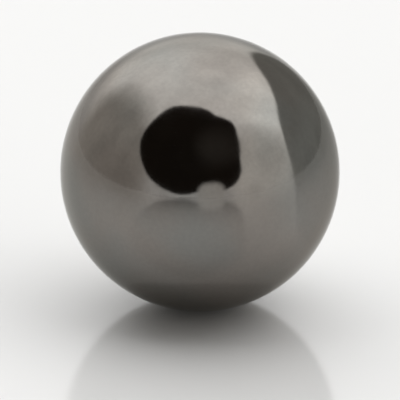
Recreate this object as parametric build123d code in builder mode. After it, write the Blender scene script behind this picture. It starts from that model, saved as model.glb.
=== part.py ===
"""Sphere magnet: one solid ball of sintered rare-earth magnet, ground round and plated in black nickel.

The origin is the centre of the ball. +Z is the magnetic axis and points to the north pole. X and Y are
square to it: the ball has no front, so every turn about the magnetic axis gives the same shape.
All sizes are in millimetres.
"""

import os

from build123d import *

# Finished size, measured over the plating
ball_diameter = 5.0

ball_radius = ball_diameter / 2

# The half section lies beside the magnetic axis: a meridian from the south pole up to the north
# pole, closed along the axis. Turned once about that axis it gives the ball as one true spherical
# face, with no flat, seam or parting line, the way plates grind it.
with BuildPart() as sphere_magnet:
    with BuildSketch(Plane.XZ) as half_section:
        with BuildLine() as outline:
            meridian = CenterArc((0, 0), ball_radius, start_angle=-90, arc_size=180)
            magnetic_axis = Line(meridian @ 1, meridian @ 0)
        make_face()
    revolve(axis=Axis.Z)

sphere_magnet.part.label = "sphere_magnet"

os.makedirs("parts", exist_ok=True)
export_step(sphere_magnet.part, "parts/sphere_magnet.step")
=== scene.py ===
"""Looks of the sphere magnet: a bright black nickel ball in a light tent, on a glossy white table."""

import math

import bmesh
import bpy
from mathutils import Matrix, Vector, noise


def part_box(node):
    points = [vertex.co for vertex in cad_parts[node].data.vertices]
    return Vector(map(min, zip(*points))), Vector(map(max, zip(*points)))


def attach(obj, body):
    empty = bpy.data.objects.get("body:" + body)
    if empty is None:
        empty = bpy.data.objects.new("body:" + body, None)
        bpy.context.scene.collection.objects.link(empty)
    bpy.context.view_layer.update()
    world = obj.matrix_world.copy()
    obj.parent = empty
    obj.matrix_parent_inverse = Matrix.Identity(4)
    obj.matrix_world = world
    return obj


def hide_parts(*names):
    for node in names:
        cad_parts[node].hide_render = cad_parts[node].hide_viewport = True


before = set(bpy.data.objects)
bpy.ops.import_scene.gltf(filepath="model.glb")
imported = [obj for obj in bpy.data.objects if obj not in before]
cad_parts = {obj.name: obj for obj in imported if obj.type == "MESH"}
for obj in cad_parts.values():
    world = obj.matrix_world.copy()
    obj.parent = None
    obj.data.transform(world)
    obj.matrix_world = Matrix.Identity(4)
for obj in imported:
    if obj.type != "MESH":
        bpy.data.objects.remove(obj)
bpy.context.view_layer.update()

NODE = "sphere_magnet"
BODY = "root"

MM = 0.001
MM_PER_METRE = 1000.0

low_corner, high_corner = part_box(NODE)
ball_radius = (high_corner.z - low_corner.z) / 2
ball_centre = (low_corner + high_corner) / 2


# Directions

# The photograph's viewing angle: azimuth 0 looks along +Y, and elevation is above the horizon
VIEW_AZIMUTH = -33.3
VIEW_ELEVATION = 21.0


def direction(turn, elevation):
    """The unit vector for a turn to the right and a rise above the horizon, both in degrees.

    Without a turn or a rise it is level and points away from the camera.
    """
    heading = math.radians(VIEW_AZIMUTH - turn)
    rise = math.radians(elevation)
    level = math.cos(rise)
    return Vector((-math.sin(heading) * level, math.cos(heading) * level, math.sin(rise)))


# Camera

LENS_MM = 500.0
SENSOR_MM = 36.0
BALL_SHARE_OF_WIDTH = 0.70
BALL_ABOVE_MIDDLE = 0.07  # of the picture's width
NEAREST_SEEN = 0.1  # of the camera's distance
FARTHEST_SEEN = 100.0  # times the camera's distance


def make_camera():
    """Looks at the ball from the photograph's angle, from far away, so that lines stay nearly parallel."""
    to_camera = -direction(0.0, -VIEW_ELEVATION)
    picture_right = direction(90.0, 0.0)
    picture_up = to_camera.cross(picture_right)
    picture_width = 2 * ball_radius / BALL_SHARE_OF_WIDTH
    distance = picture_width * LENS_MM / SENSOR_MM
    drop = BALL_ABOVE_MIDDLE * picture_width

    camera = bpy.data.objects.new("camera", bpy.data.cameras.new("camera"))
    camera.data.lens = LENS_MM
    camera.data.sensor_width = SENSOR_MM
    camera.data.clip_start = NEAREST_SEEN * distance
    camera.data.clip_end = FARTHEST_SEEN * distance
    camera.location = ball_centre + to_camera * distance - picture_up * drop
    camera.rotation_euler = (-to_camera).to_track_quat("-Z", "Y").to_euler()
    bpy.context.scene.collection.objects.link(camera)
    bpy.context.scene.camera = camera


# Objects

def new_object(name, form):
    """An object in the scene with that form as its mesh."""
    mesh = bpy.data.meshes.new(name)
    form.to_mesh(mesh)
    form.free()
    thing = bpy.data.objects.new(name, mesh)
    bpy.context.scene.collection.objects.link(thing)
    return thing


# Node trees

# The sockets of a colour mix go by number, because it has several of the same name
MIX_SHARE = 0
MIX_FIRST = 6
MIX_SECOND = 7
MIX_RESULT = 2

NOISE_DETAIL = 2.0
NOISE_MIDDLE = (0.5, 0.5, 0.5)
ZERO = (0.0, 0.0, 0.0)


def new_material(name):
    """A material and its empty node tree."""
    material = bpy.data.materials.new(name)
    material.use_nodes = True
    material.node_tree.nodes.clear()
    return material, material.node_tree


def new_node(tree, kind, inputs=None, **settings):
    """A node with its settings, and with its inputs set to values or linked from other nodes' outputs."""
    node = tree.nodes.new(kind)
    for name, value in settings.items():
        setattr(node, name, value)
    for socket, value in (inputs or {}).items():
        if isinstance(value, bpy.types.NodeSocket):
            tree.links.new(value, node.inputs[socket])
        else:
            node.inputs[socket].default_value = value
    return node


def vector_maths(tree, operation, inputs, output="Vector"):
    """What one step of vector arithmetic gives."""
    return new_node(tree, "ShaderNodeVectorMath", inputs, operation=operation).outputs[output]


def mixed_colour(tree, label, share, first, second):
    """The colour that goes from the first to the second as the share goes from 0 to 1."""
    inputs = {MIX_SHARE: share, MIX_FIRST: first, MIX_SECOND: second}
    return new_node(tree, "ShaderNodeMix", inputs, data_type="RGBA", label=label).outputs[MIX_RESULT]


def stepped(tree, value, start, end, low=0.0, high=1.0):
    """The value eased from low to high between start and end."""
    inputs = {"Value": value, "From Min": start, "From Max": end, "To Min": low, "To Max": high}
    return new_node(tree, "ShaderNodeMapRange", inputs, interpolation_type="SMOOTHSTEP").outputs[0]


def clouds(tree, place, scale, detail=NOISE_DETAIL):
    """Soft noise from 0 to 1, with that many cells in a unit of the place."""
    inputs = {"Vector": place, "Scale": scale, "Detail": detail}
    return new_node(tree, "ShaderNodeTexNoise", inputs).outputs[0]


# Light tent

TENT_WALL = (0.84, 0.84, 0.84, 1.0)
OPENING_DARK = (0.018, 0.014, 0.011, 1.0)

# Turns, elevations and angles are in degrees, as seen from the ball. Each entry covers those before it.
TENT_LIGHTS = (
    # name, turn, elevation, half angle, soft edge, colour
    ("lit roof and back", 5.0, 62.0, 66.0, 16.0, (1.56, 1.56, 1.55, 1.0)),
    ("unlit foot of the walls", 0.0, -90.0, 100.0, 9.0, TENT_WALL),
    ("bright patch in the roof", -32.0, 50.0, 24.0, 15.0, (1.74, 1.74, 1.73, 1.0)),
    ("lamp behind the right wall", 78.0, 38.0, 26.0, 12.0, (1.94, 1.93, 1.90, 1.0)),
    ("right front wall", 124.0, 16.0, 27.0, 12.0, (0.99, 0.98, 0.95, 1.0)),
    ("below the table", 0.0, -90.0, 87.5, 2.0, (0.84, 0.84, 0.83, 1.0)),
)

# A panel's half width, half height, corner and soft edge are lengths at a distance of 1 from the ball
TENT_PANELS = (
    # name, turn, elevation, half width, half height, corner, soft edge, colour
    ("left wall", -90.0, 12.0, 0.90, 0.86, 0.82, 0.34, (0.57, 0.55, 0.52, 1.0)),
    ("fold in the left wall", -102.0, 0.0, 0.50, 0.40, 0.36, 0.32, (0.45, 0.425, 0.40, 1.0)),
    ("grey flag at the right", 56.0, 0.0, 0.86, 0.80, 0.58, 0.05, (0.38, 0.378, 0.36, 1.0)),
    ("opening, round part", -164.0, 39.0, 0.75, 0.75, 0.75, 0.03, OPENING_DARK),
    ("opening, squarer part", 164.5, 36.0, 0.37, 0.60, 0.34, 0.03, OPENING_DARK),
    ("dim room behind the opening", 162.0, 40.0, 0.24, 0.22, 0.20, 0.20, (0.055, 0.048, 0.042, 1.0)),
    ("cloth at the opening's lip", 171.0, 4.0, 0.18, 0.13, 0.11, 0.05, (0.75, 0.74, 0.72, 1.0)),
)

# Directions away from a panel count as this far towards it, which puts all but a speck of them outside it
LEAST_DEPTH = 0.001

FOLD_SCALE = 3.2
FOLD_REACH = 0.03  # edges move by up to half of this along each axis
FOLD_SHADE = 0.10  # how much darker and lighter the cloth gets
FOLD_SPAN = (0.25, 0.75)  # of the noise's range, from the darkest to the lightest cloth

BACKDROP = (0.89, 0.89, 0.89, 1.0)  # what the camera sees past the table's edge


def light_share(tree, place, turn, elevation, half_angle, soft_edge):
    """1 inside a round patch of light and 0 outside it."""
    nearness = vector_maths(tree, "DOT_PRODUCT", {0: place, 1: direction(turn, elevation)}, "Value")
    outside = math.cos(math.radians(half_angle + soft_edge))
    inside = math.cos(math.radians(half_angle - soft_edge))
    return stepped(tree, nearness, outside, inside)


def panel_share(tree, place, turn, elevation, half_width, half_height, corner, soft_edge):
    """1 inside a flat panel with round corners that faces the ball, and 0 outside it."""
    ahead = direction(turn, elevation)
    right = direction(turn + 90.0, 0.0)
    axes = (right, right.cross(ahead), ahead)
    across, up, away = [vector_maths(tree, "DOT_PRODUCT", {0: place, 1: axis}, "Value") for axis in axes]
    depth = new_node(tree, "ShaderNodeMath", {0: away, 1: LEAST_DEPTH}, operation="MAXIMUM").outputs[0]
    flat = new_node(tree, "ShaderNodeCombineXYZ", {"X": across, "Y": up}).outputs[0]
    spot = vector_maths(tree, "DIVIDE", {0: flat, 1: depth})

    # The panel's four quarters are alike, so one is measured, from the centre of its round corner
    in_quarter = vector_maths(tree, "ABSOLUTE", {0: spot})
    corner_centre = (half_width - corner, half_height - corner, 0.0)
    past_centre = vector_maths(tree, "SUBTRACT", {0: in_quarter, 1: corner_centre})
    outward = vector_maths(tree, "MAXIMUM", {0: past_centre, 1: ZERO})
    distance = vector_maths(tree, "LENGTH", {0: outward}, "Value")
    return stepped(tree, distance, corner + soft_edge, corner - soft_edge)


def make_tent():
    """White cloth all round, with the opening that the camera looks through, on a plain backdrop."""
    world = bpy.data.worlds.new("light_tent")
    world.use_nodes = True
    tree = world.node_tree
    tree.nodes.clear()
    place = new_node(tree, "ShaderNodeTexCoord").outputs["Generated"]
    noise_inputs = {"Vector": place, "Scale": FOLD_SCALE, "Detail": NOISE_DETAIL}
    folds = new_node(tree, "ShaderNodeTexNoise", noise_inputs)
    centred = vector_maths(tree, "SUBTRACT", {0: folds.outputs["Color"], 1: NOISE_MIDDLE})
    shift = vector_maths(tree, "SCALE", {0: centred, "Scale": FOLD_REACH})
    on_cloth = vector_maths(tree, "ADD", {0: place, 1: shift})

    colour = TENT_WALL
    for name, *shape, light in TENT_LIGHTS:
        colour = mixed_colour(tree, name, light_share(tree, on_cloth, *shape), colour, light)
    for name, *shape, shade in TENT_PANELS:
        colour = mixed_colour(tree, name, panel_share(tree, on_cloth, *shape), colour, shade)
    shading = stepped(tree, folds.outputs["Fac"], *FOLD_SPAN, 1 - FOLD_SHADE, 1 + FOLD_SHADE)

    # The ball and the table mirror the tent, and only the camera itself sees the backdrop
    tent = new_node(tree, "ShaderNodeBackground", {"Color": colour, "Strength": shading}).outputs[0]
    backdrop = new_node(tree, "ShaderNodeBackground", {"Color": BACKDROP, "Strength": 1.0}).outputs[0]
    straight = new_node(tree, "ShaderNodeLightPath").outputs["Is Camera Ray"]
    shown = new_node(tree, "ShaderNodeMixShader", {0: straight, 1: tent, 2: backdrop}).outputs[0]
    new_node(tree, "ShaderNodeOutputWorld", {"Surface": shown})
    bpy.context.scene.world = world


# Table

TABLE_RADIUS = 0.6
TABLE_SIDES = 96
TABLE_WHITE = (0.84, 0.84, 0.84, 1.0)
TABLE_ROUGHNESS = 0.12
TABLE_IOR = 1.45


def white_acrylic():
    """Glossy white plastic, clear when seen from its back."""
    material, tree = new_material("white_acrylic")
    values = {"Base Color": TABLE_WHITE, "Roughness": TABLE_ROUGHNESS, "IOR": TABLE_IOR}
    glossy = new_node(tree, "ShaderNodeBsdfPrincipled", values).outputs[0]
    clear = new_node(tree, "ShaderNodeBsdfTransparent").outputs[0]
    from_back = new_node(tree, "ShaderNodeNewGeometry").outputs["Backfacing"]
    shown = new_node(tree, "ShaderNodeMixShader", {0: from_back, 1: glossy, 2: clear}).outputs[0]
    new_node(tree, "ShaderNodeOutputMaterial", {"Surface": shown})
    return material


def make_table():
    """A round table top that the ball stands on."""
    form = bmesh.new()
    bmesh.ops.create_circle(form, cap_ends=True, segments=TABLE_SIDES, radius=TABLE_RADIUS)
    table = new_object("table_top", form)
    table.location = (ball_centre.x, ball_centre.y, ball_centre.z - ball_radius)
    table.data.materials.append(white_acrylic())


# Black nickel

# Each span is the part of its noise's range over which the effect grows from none to all
WARM_NICKEL = (0.232, 0.214, 0.196, 1.0)
COOL_NICKEL = (0.221, 0.2195, 0.2075, 1.0)
NICKEL_EDGE = (0.70, 0.69, 0.67, 1.0)
TINT_CELLS_PER_MM = 0.45
TINT_SPAN = (0.35, 0.65)
GRAIN_CELLS_PER_MM = 14.0
GRAIN_DETAIL = 3.0
GRAIN_SPAN = (0.3, 0.7)
GRAIN_SHADE = 0.03
HAZE_CELLS_PER_MM = 1.3
HAZE_DETAIL = 4.0
HAZE_SPAN = (0.35, 0.75)
BRIGHT_ROUGHNESS = 0.065
HAZY_ROUGHNESS = 0.11
GRIT_CELLS_PER_MM = 10.0
GRIT_HEIGHT = 0.0003 * MM


def black_nickel():
    """Bright dark warm metal over a ground ball, with faint tint patches, grain, haze and grit."""
    material, tree = new_material("black_nickel")
    metres = new_node(tree, "ShaderNodeTexCoord").outputs["Object"]
    place = vector_maths(tree, "SCALE", {0: metres, "Scale": MM_PER_METRE})

    tint = stepped(tree, clouds(tree, place, TINT_CELLS_PER_MM), *TINT_SPAN)
    tinted = mixed_colour(tree, "tint", tint, WARM_NICKEL, COOL_NICKEL)
    grain = clouds(tree, place, GRAIN_CELLS_PER_MM, GRAIN_DETAIL)
    grain_shade = stepped(tree, grain, *GRAIN_SPAN, 1 - GRAIN_SHADE, 1 + GRAIN_SHADE)
    colour = vector_maths(tree, "SCALE", {0: tinted, "Scale": grain_shade})

    haze = clouds(tree, place, HAZE_CELLS_PER_MM, HAZE_DETAIL)
    roughness = stepped(tree, haze, *HAZE_SPAN, BRIGHT_ROUGHNESS, HAZY_ROUGHNESS)
    grit = clouds(tree, place, GRIT_CELLS_PER_MM)
    bump_inputs = {"Height": grit, "Strength": 1.0, "Distance": GRIT_HEIGHT}
    bump = new_node(tree, "ShaderNodeBump", bump_inputs).outputs[0]

    values = {
        "Base Color": colour,
        "Metallic": 1.0,
        "Roughness": roughness,
        "Specular Tint": NICKEL_EDGE,
        "Normal": bump,
    }
    metal = new_node(tree, "ShaderNodeBsdfPrincipled", values).outputs[0]
    new_node(tree, "ShaderNodeOutputMaterial", {"Surface": metal})
    return material


# Ball

CELLS_PER_CUBE_EDGE = 96
SURFACE_NOISE = (
    # height and cell in millimetres, place in the noise at the ball's centre
    (0.0040, 3.00, Vector((11.3, 4.7, 8.1))),  # lobing from the grinding
    (0.0035, 0.90, Vector((-11.3, -4.7, -8.1))),  # waves from the grinding
    (0.0020, 0.28, Vector((8.1, 4.7, 11.3))),  # orange peel in the plating
)
MAP_NAME = "OFBake"
MAP_COLUMNS = 3
MAP_ROWS = 2
MAP_FILL = 0.97  # of each cube face's place on the map


def true_radius(outward):
    """The ball's radius in that direction, with its lobing, waves and orange peel.

    They only ever take away, so that the ball stays inside its box.
    """
    place = outward * (ball_radius * MM_PER_METRE)
    hollow = 0.0
    for height, cell, start in SURFACE_NOISE:
        hollow += height * (1 + noise.noise(place / cell + start)) / 2
    return ball_radius - hollow * MM


def lay_out_map(form):
    """Lays the cube's faces on the map, a column for each axis and a row for each side, none mirrored."""
    layer = form.loops.layers.uv.new(MAP_NAME)
    for face in form.faces:
        middle = face.calc_center_median()
        axis = max(range(3), key=lambda index: abs(middle[index]))
        side = math.copysign(1.0, middle[axis])
        column = axis + 0.5
        row = side / 2 + 1.0
        for loop in face.loops:
            across = side * loop.vert.co[(axis + 1) % 3]
            up = loop.vert.co[(axis + 2) % 3]
            loop[layer].uv = (
                (column + across * MAP_FILL / 2) / MAP_COLUMNS,
                (row + up * MAP_FILL / 2) / MAP_ROWS,
            )


def make_ball():
    """A closed ball of even four-sided cells, laid out as the six faces of a cube swollen to a sphere."""
    form = bmesh.new()
    bmesh.ops.create_cube(form, size=2.0)
    cuts = CELLS_PER_CUBE_EDGE - 1
    bmesh.ops.subdivide_edges(form, edges=form.edges[:], cuts=cuts, use_grid_fill=True)
    lay_out_map(form)
    for vertex in form.verts:
        # The cube reaches from -1 to 1 along each axis, and the tangent evens out its cells on the sphere
        outward = Vector(math.tan(share * math.pi / 4) for share in vertex.co).normalized()
        vertex.co = ball_centre + outward * true_radius(outward)
    for face in form.faces:
        face.smooth = True
    ball = new_object("plated_ball", form)
    ball.data.materials.append(black_nickel())
    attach(ball, BODY)
    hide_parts(NODE)


make_camera()
make_tent()
make_table()
make_ball()
bpy.context.scene.view_settings.view_transform = "Standard"
